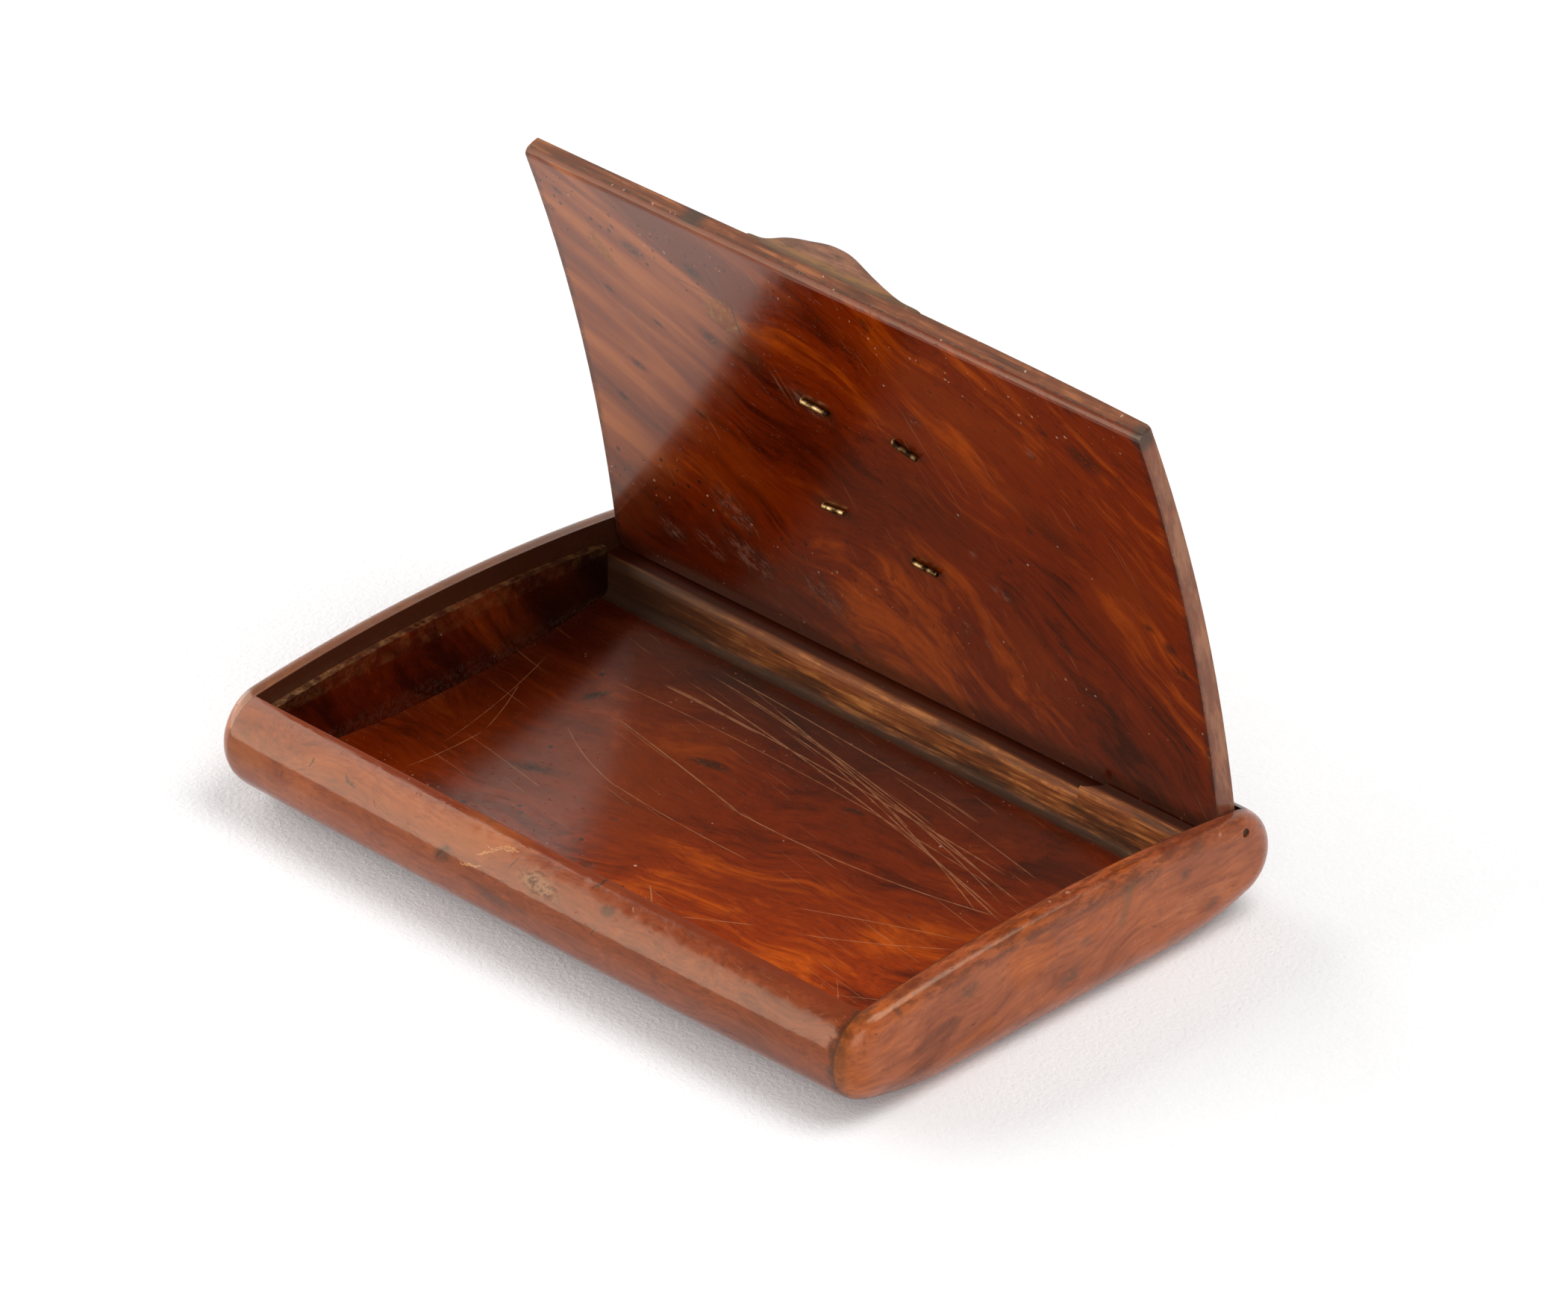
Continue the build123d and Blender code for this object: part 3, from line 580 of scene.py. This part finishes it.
def inner_face_wear(g, p, colour, inner):
    """Inner face of the lid: old label residue, a scrape, dry scuffs, painted shadows beside the wires,
    hairlines and lint.
    """
    flat = g.flattened(p)
    cloth = g.noise(p, 1.5, 5.0, 0.7)
    ragged = g.flattened(g.pushed(flat, g.noise(p, 0.45, 5.0, 0.7, colour=True), 4.0))
    patch = g.product(g.spot(ragged, *LABEL), g.smooth(cloth, 0.42, 0.56, 0.15, 1.0))
    scrape = g.product(g.spots(ragged, SCRAPE), g.smooth(cloth, 0.38, 0.5))
    residue = g.product(g.union(patch, scrape), inner)
    paper = g.cover((0.19, 0.085, 0.036), (0.46, 0.26, 0.11), g.smooth(cloth, 0.5, 0.62))
    colour = g.cover(colour, paper, residue, 0.7)
    colour = g.cover(colour, (0.05, 0.018, 0.01), g.scratches(flat, LABEL_EDGES), inner, 0.7)

    scuffs = g.spots(flat, LARGE_SCUFFS + SMALL_SCUFFS, SCUFF_TURN, 0.8)
    torn = g.cloudy(g.drawn_out(g.rotated(p, -0.5), 0.35), 1.7, 6.0, 0.8, 0.46, 0.6)
    scuffs = g.product(scuffs, inner, torn)
    bed = g.spots(flat, [(a, b, c * 1.7, d * 1.9) for a, b, c, d in LARGE_SCUFFS], SCUFF_TURN, 0.9)
    colour = g.cover(colour, (0.055, 0.014, 0.006), bed, inner, g.cloudy(p, 0.8, 4.0, 0.7, 0.36, 0.6), 0.65)
    colour = g.cover(colour, (0.25, 0.12, 0.08), scuffs, 0.55)

    # Painted shadows beside each wire, offset towards the hinge
    wire_shadows = g.spots(flat, [(a, b + 1.05) for a, b in WIRES], 2.6, 1.0, 0.0, 0.8)
    colour = g.cover(colour, (0.035, 0.01, 0.003), wire_shadows, inner, 0.65)
    hair = g.cloudy(g.drawn_out(g.rotated(p, -1.1), 0.03), 2.0, 2.0, 0.5, 0.7, 0.73)
    colour = g.cover(colour, (0.45, 0.2, 0.1), hair, inner, 0.2)
    colour = g.cover(colour, (0.55, 0.33, 0.22), g.flecks(p, 0.8, 0.5, 0.12), inner, 0.7)
    return colour, residue, scuffs


def lid_front_colour(g, p, depth, colour, dry):
    """Front edge of the lid: dry ochre wood outside, a dirt line, then a polished rounded inner lip."""
    flat = g.flattened(p)
    front = g.smooth(g.split(p)[1], LID_FRONT + 0.8, LID_FRONT + 0.55)
    outer = g.product(front, g.smooth(depth, 0.72, 0.95))
    colour = g.cover(colour, (0.13, 0.024, 0.008), front, 0.65)
    colour = g.cover(colour, g.tinted(dry, (0.95, 0.7, 0.62)), outer, 0.92)
    dirt = g.product(front, g.line(depth, 0.85, 0.08, 0.2))
    colour = g.cover(colour, (0.035, 0.012, 0.006), dirt, g.cloudy(p, 0.7, 4.0, 0.7, 0.4, 0.6, 0.1, 0.85))
    crumbs = g.product(g.flecks(p, 1.3, 0.35, 0.2), front, g.smooth(depth, 0.6, 0.75))
    colour = g.cover(colour, (0.5, 0.36, 0.24), crumbs, 0.7)
    nick = g.product(front, g.spot(flat, -20.5, -26.8, 1.4, 1.0, 0.0, 0.6), g.smooth(depth, 0.4, 0.6))
    return g.cover(colour, (0.025, 0.014, 0.01), nick, 0.85), outer, crumbs


def thumb_lift_colour(g, p, depth, colour):
    """Thumb lift: weathered grey-brown with an ochre foot and a handled outside."""
    x, y, _ = g.split(p)
    proud = g.product(g.smooth(y, LID_FRONT + 0.05, LID_FRONT - 0.15), g.smooth(depth, 1.2, 1.6))
    grey = g.ramp(g.noise(g.drawn_out(p, 0.15), 1.3, 5.0, 0.65, 0.4), (0.36, 0.5, 0.64), LIFT_TONES)
    colour = g.cover(colour, grey, proud)
    ochre = g.cloudy(g.drawn_out(p, 0.2), 2.2, 5.0, 0.7, 0.4, 0.56, 0.25, 0.9)
    root = g.smooth(y, LID_FRONT - 0.9, LID_FRONT - 0.5)
    colour = g.cover(colour, (0.22, 0.095, 0.025), proud, root, ochre)
    handled = g.spot(g.flattened(p), 0.0, -26.0, 13.0, 8.0, 0.0, 0.35)
    handled = g.product(handled, g.smooth(depth, 2.5, 3.1))
    colour = g.cover(colour, grey, handled, 0.75)
    width = g.smooth(g.math("ABSOLUTE", x), 14.0, 12.0)
    seam = g.product(g.line(y, LID_FRONT - 0.1, 0.08, 0.25), g.smooth(depth, 1.2, 1.6), width)
    return g.cover(colour, (0.05, 0.022, 0.01), seam, 0.6), proud, handled


def lid_side_colour(g, p, depth, colour, inner):
    """Sides of the lid: pinkish brown with a dark inner border and a dark front right corner."""
    reach = g.math("ABSOLUTE", g.split(p)[0])
    streaks = g.cloudy(g.drawn_out(p, y=0.2), 0.7, 4.0, 0.6, 0.4, 0.65)
    pink = g.cover((0.2, 0.065, 0.035), (0.38, 0.17, 0.09), streaks)
    colour = g.cover(colour, pink, g.smooth(reach, LID_HALF - 0.15, LID_HALF - 0.03), 0.75)
    border = g.product(g.smooth(reach, LID_HALF - 1.05, LID_HALF - 0.35), inner)
    colour = g.cover(colour, (0.05, 0.012, 0.008), border, g.cloudy(p, 0.4, 4.0, 0.7, 0.38, 0.6, 0.1, 0.7))
    corner = g.product(g.spot(g.flattened(p), 44.6, -26.2, 1.2, 1.6, 0.0, 0.6), g.smooth(depth, 2.2, 1.6))
    return g.cover(colour, (0.03, 0.016, 0.012), corner, 0.85)


def lid_material():
    g = material_graph("burr_lid")
    p = g.closed_lid_mm()
    x, y, z = g.split(p)
    flow = g.smooth(x, -20.0, 48.0, -0.27, -0.62)
    colour, rough, height = burr(g, p, flow, LID_TONES, 0.25, 0.11)

    # Depth above the arc of the inner face
    off = g.math("SUBTRACT", y, UNDER_Y)
    sag = g.product(off, off, 1.0 / (2.0 * UNDER_RADIUS))
    depth = g.math("SUBTRACT", g.math("ADD", z, sag), UNDER_TOP)
    inner = g.smooth(depth, 0.35, 0.15)

    colour = inner_face_figure(g, p, colour, inner)
    colour, residue, scuffs = inner_face_wear(g, p, colour, inner)
    dry, grain = raw_wood(g, p)
    colour, outer, crumbs = lid_front_colour(g, p, depth, colour, dry)
    colour, proud, handled = thumb_lift_colour(g, p, depth, colour)
    colour = lid_side_colour(g, p, depth, colour, inner)

    # Back edge that turns in the cove: painted shade
    colour = g.cover(colour, (0.04, 0.009, 0.003), g.smooth(y, HINGE_Y - 1.6, HINGE_Y + 0.6), 0.7)
    dull = g.union(outer, proud, handled, residue, scuffs, crumbs)
    rough = g.mix_value(g.product(dull, 0.85), rough, 0.55)
    height = g.math("ADD", height, g.product(g.union(outer, proud), g.product(grain, 0.8)))
    return g.finish(colour, rough, height, 0.00003, specular=0.48)


def end_face_colour(g, p, turned, colour):
    """Outer face and rim of both end pieces."""
    x, y, z = g.split(p)
    side = g.joined(y, z)
    reach = g.math("ABSOLUTE", x)

    # The left end is browner, like the nose that it meets
    left = g.smooth(x, 0.9 - CORE_HALF, -0.1 - CORE_HALF)
    colour = g.cover(colour, g.tinted(colour, (0.62, 0.58, 0.5)), left, 0.8)

    # Grey-brown eyes and ochre streaks of the right-hand face
    right = g.smooth(x, CORE_HALF - 0.9, CORE_HALF + 0.1)
    eyes = g.product(g.spots(side, END_EYES, END_EYE_TURN, 0.8), right)
    colour = g.cover(colour, (0.11, 0.055, 0.035), eyes, g.cloudy(p, 1.5, 3.0, 0.6, 0.32, 0.5), 0.6)
    streak = g.scratch(side, (9.6, 12.2), (7.6, 7.8), 0.9, 0.3)
    colour = g.cover(colour, (0.2, 0.075, 0.03), streak, right, 0.6)
    gold = g.product(g.flecks(p, 1.5, 0.4, 0.2), right, g.spot(side, 8.4, 10.0, 1.8, 3.0, 0.0, 0.7))
    colour = g.cover(colour, (0.55, 0.3, 0.1), gold, 0.8)
    tint = g.noise(turned, 0.09, 3.0, 0.5)
    colour = g.cover(colour, g.tinted(colour, (1.1, 0.95, 0.35)), g.smooth(tint, 0.5, 0.6, 0.0, 0.75))
    colour = g.cover(colour, g.tinted(colour, (0.62, 0.5, 0.45)), g.smooth(tint, 0.48, 0.36, 0.0, 0.5))

    # Nicked, thinner polish along the rim, with pale bruises
    crown = g.product(g.smooth(z, 11.2, 12.4), g.smooth(reach, CORE_HALF - 0.3, CORE_HALF + 0.3))
    worn = g.cloudy(g.drawn_out(p, y=0.3), 1.1, 5.0, 0.7, 0.42, 0.6, 0.2, 0.8)
    colour = g.cover(colour, (0.12, 0.025, 0.01), crown, worn)
    colour = g.cover(colour, (0.15, 0.05, 0.018), crown, left, 0.7)
    return g.cover(colour, (0.5, 0.27, 0.17), g.flecks(p, 0.55, 0.25, 0.22), crown, 0.55), right


def end_field_colour(g, p, turned, colour):
    """Inner field: saturated dark wood with painted shade towards the back and bottom, dusty along its
    ledge and where it meets the floor.
    """
    x, y, z = g.split(p)
    reach = g.math("ABSOLUTE", x)
    field = g.smooth(reach, CORE_HALF - 0.04, CORE_HALF - 0.15)
    red, _, _ = burr(g, g.rotated(turned, 0.9), 0.0, FIELD_TONES, 0.15)
    colour = g.cover(colour, red, field)
    # Painted shade, nearly black towards the back and bottom of the field
    painted_back_shade = g.smooth(g.math("ADD", y, g.product(z, -0.6)), -8.0, 16.0)
    colour = g.cover(colour, (0.006, 0.0008, 0.0002), field, painted_back_shade, 0.9)
    rim = g.smooth(reach, CORE_HALF + 0.08, CORE_HALF + 0.02)
    rim = g.product(rim, g.smooth(reach, CORE_HALF - 0.1, CORE_HALF - 0.04))
    colour = g.cover(colour, (0.085, 0.02, 0.006), rim, 0.9)
    ledge = g.product(g.smooth(reach, FIELD_HALF - 0.03, FIELD_HALF + 0.05), g.smooth(z, 9.0, 9.6))
    ledge = g.product(ledge, g.smooth(reach, CORE_HALF, CORE_HALF - 0.04))
    dusty = g.product(ledge, g.cloudy(p, 1.9, 5.0, 0.75, 0.4, 0.62, 0.25, 1.0))
    dust = g.cover((0.035, 0.013, 0.005), (0.26, 0.12, 0.042), g.cloudy(p, 0.6, 4.0, 0.7, 0.4, 0.6))
    colour = g.cover(colour, dust, dusty, 0.85)
    gutter = g.product(field, g.smooth(z, 5.0, 4.1), g.cloudy(p, 2.2, 4.0, 0.7, 0.45, 0.62))
    return g.cover(colour, (0.1, 0.06, 0.04), gutter, 0.3), dusty


def end_material():
    g = material_graph("burr_end")
    p = g.object_mm()
    x, y, z = g.split(p)
    turned = g.joined(y, z, x)
    colour, rough, height = burr(g, turned, -0.12, END_TONES, 0.4, 0.2)
    colour, right = end_face_colour(g, p, turned, colour)
    colour, dusty = end_field_colour(g, p, turned, colour)

    # Glue line against the trough
    reach = g.math("ABSOLUTE", x)
    joint = g.smooth(reach, CORE_HALF + 0.18, CORE_HALF + 0.05)
    joint = g.product(joint, g.smooth(reach, CORE_HALF - 0.04, CORE_HALF))
    colour = g.cover(colour, (0.05, 0.016, 0.008), joint, 0.7)
    glue = g.product(g.smooth(y, HOLLOW_FRONT, HOLLOW_FRONT - 1.6), right)
    glue = g.product(glue, g.smooth(x, CORE_HALF + 1.7, CORE_HALF + 0.3))
    colour = g.cover(colour, (0.13, 0.033, 0.006), glue, g.cloudy(p, 0.9, 4.0, 0.7, 0.35, 0.6, 0.35, 0.95))
    return g.finish(colour, g.mix_value(dusty, rough, 0.7), height)


def brass_material():
    g = material_graph("brass_wire")
    grime = g.noise(g.object_mm(), 0.75, 4.0, 0.55)
    colour = g.ramp(grime, (0.42, 0.52, 0.68), BRASS_TONES)
    return g.finish(colour, g.smooth(grime, 0.3, 0.7, 0.6, 0.34), grime, 0.00003, metallic=1.0)


def iron_material():
    g = material_graph("hinge_iron")
    rust = g.noise(g.object_mm(), 2.2, 4.0, 0.6)
    colour = g.ramp(rust, (0.35, 0.7), IRON_TONES)
    return g.finish(colour, g.smooth(rust, 0.3, 0.7, 0.45, 0.8), rust, 0.00003, metallic=0.4)


def dress(start, material):
    """Give a material to the pieces whose names begin with start."""
    for name, piece in frame["nodes"].items():
        if name.startswith(start):
            piece.data.materials.clear()
            piece.data.materials.append(material)


dress("end_", end_material())
dress("clinch_pin_", brass_material())
dress("hinge_pin_", iron_material())
dress("trough", trough_material())
dress("lid", lid_material())

# Floor of textured white paper that keeps the contact shadow, a little under the foot
FLOOR_SIZE = 8.0
FLOOR_DROP = 0.0001
PAPER_WHITE = (0.9, 0.9, 0.9, 1.0)
PAPER_GLOW = 0.12
WHITE = (1.0, 1.0, 1.0, 1.0)

bpy.ops.mesh.primitive_plane_add(size=FLOOR_SIZE, location=(0.0, 0.0, -FLOOR_DROP))
floor = bpy.context.object
floor.name = "studio_floor"
g = material_graph("studio_floor")
paper = g.noise(g.object_mm(), 1.7, 5.0, 0.65)
bump = g.node("ShaderNodeBump", {"Height": paper, "Distance": 0.0004, "Strength": 0.8})
sheet = g.node("ShaderNodeBsdfDiffuse", {"Color": PAPER_WHITE, "Normal": bump.outputs[0]})
path = g.node("ShaderNodeLightPath").outputs
seen = g.math("MAXIMUM", path["Is Camera Ray"], path["Is Glossy Ray"])
glow = g.node("ShaderNodeEmission", {"Color": WHITE, "Strength": g.product(seen, PAPER_GLOW)})
both = g.node("ShaderNodeAddShader", {0: sheet.outputs[0], 1: glow.outputs[0]})
g.node("ShaderNodeOutputMaterial", {0: both.outputs[0]})
floor.data.materials.append(g.owner)

# Camera fitted to the photograph: a long lens, 1.33 m away
PHOTO_WIDTH_PX = 2101.0
FOCAL_LENGTH_PX = 16946.6
SENSOR_WIDTH = 36.0
CAMERA_PLACE = (0.807624, -0.807646, 0.690288)
CAMERA_RIGHT = (0.71054, 0.70365, -0.00139)
CAMERA_FORWARD = (-0.60855, 0.61351, -0.50326)

camera_data = bpy.data.cameras.new("camera")
camera_data.sensor_width = SENSOR_WIDTH
camera_data.lens = FOCAL_LENGTH_PX * SENSOR_WIDTH / PHOTO_WIDTH_PX
camera_data.clip_end = 20.0
camera = bpy.data.objects.new("camera", camera_data)
bpy.context.scene.collection.objects.link(camera)
right = Vector(CAMERA_RIGHT).normalized()
forward = Vector(CAMERA_FORWARD).normalized()
up = right.cross(forward).normalized()
turn = Matrix((right, up, -forward)).transposed().to_4x4()
camera.matrix_world = Matrix.Translation(CAMERA_PLACE) @ turn
bpy.context.scene.camera = camera


def lamp(name, place, target, size, power):
    data = bpy.data.lights.new(name, "AREA")
    data.shape = "RECTANGLE"
    data.size, data.size_y = size
    data.energy = power
    obj = bpy.data.objects.new(name, data)
    obj.location = place
    obj.rotation_euler = (Vector(target) - Vector(place)).to_track_quat("-Z", "Y").to_euler()
    bpy.context.scene.collection.objects.link(obj)


lamp("overhead", (0.32, 0.2, 0.8), (0.0, 0.0, 0.0), (0.6, 0.6), 5.5)
lamp("window", (-0.6, -0.4, 0.395), (0.0, -0.4, 0.395), (1.24, 0.75), 8.4)
lamp("fill", (0.7, -0.6, 0.5), (0.0, 0.0, 0.02), (0.5, 0.5), 2.3)

# White sky: full to the camera, bright near the horizon and darker above in reflections, dim as light
SKY_LIGHT = 0.22
SKY_HORIZON = 1.0
SKY_ABOVE = 0.35

world = bpy.data.worlds.new("studio")
bpy.context.scene.world = world
g = Graph(world)
path = g.node("ShaderNodeLightPath").outputs
seen = g.math("MAXIMUM", path["Is Camera Ray"], path["Is Glossy Ray"])
upward = g.split(g.node("ShaderNodeTexCoord").outputs["Generated"])["Z"]
dome = g.smooth(upward, 0.3, 0.75, SKY_HORIZON, SKY_ABOVE)
shown = g.math("MAXIMUM", dome, path["Is Camera Ray"])
level = g.node("ShaderNodeMapRange", {"Value": seen, "To Min": SKY_LIGHT, "To Max": shown})
sky = g.node("ShaderNodeBackground", {"Color": WHITE, "Strength": level.outputs[0]})
g.node("ShaderNodeOutputWorld", {0: sky.outputs[0]})

bpy.context.scene.view_settings.view_transform = "Standard"
